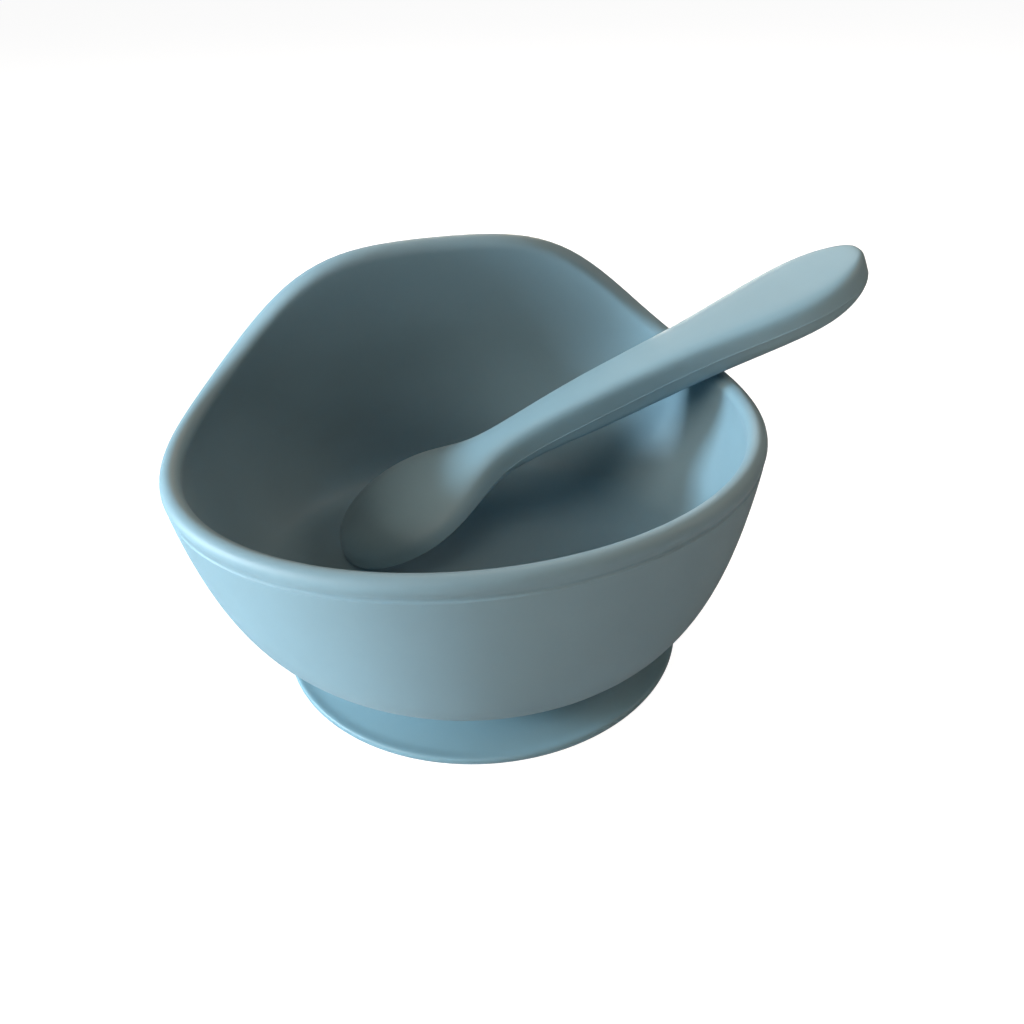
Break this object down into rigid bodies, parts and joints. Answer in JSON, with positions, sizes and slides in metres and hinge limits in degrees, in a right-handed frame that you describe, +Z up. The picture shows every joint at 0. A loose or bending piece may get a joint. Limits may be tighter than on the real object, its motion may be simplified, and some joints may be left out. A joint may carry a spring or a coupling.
{
  "type": "suction bowl",
  "caption": "Oval silicone feeding bowl with a tall leaning scoop wall at the back, on a silicone suction base, with a silicone spoon resting face down across it.",
  "frame": {"origin": "on the table, in the middle of the suction base", "axes": "+Z up, +Y towards the tall scoop wall, +X towards the end of the spoon's handle"},
  "size_m": [0.1483, 0.0921, 0.0776],
  "materials": {
    "bowl_silicone": "soft matte silicone, dusty blue",
    "base_silicone": "thin satin silicone, dusty blue",
    "spoon_silicone": "soft matte silicone, dusty blue",
    "spoon_insert": "natural nylon, hidden inside the handle"
  },
  "bodies": {
    "base": {"suction_base": "base_silicone"},
    "bowl": {"bowl_body": "bowl_silicone"},
    "spoon": {"spoon_skin": "spoon_silicone", "spoon_core": "spoon_insert"}
  },
  "joints": [
    {"name": "suction_press", "type": "slide", "parent": "base", "child": "bowl", "axis": [0, 0, -1], "range_m": [0, 0.0025], "stiffness_N_per_m": 6000, "deforming": ["suction_base"]},
    {"name": "spoon_lift", "type": "slide", "parent": "bowl", "child": "spoon", "axis": [0, 0, 1], "range_m": [0, 0.09]}
  ]
}
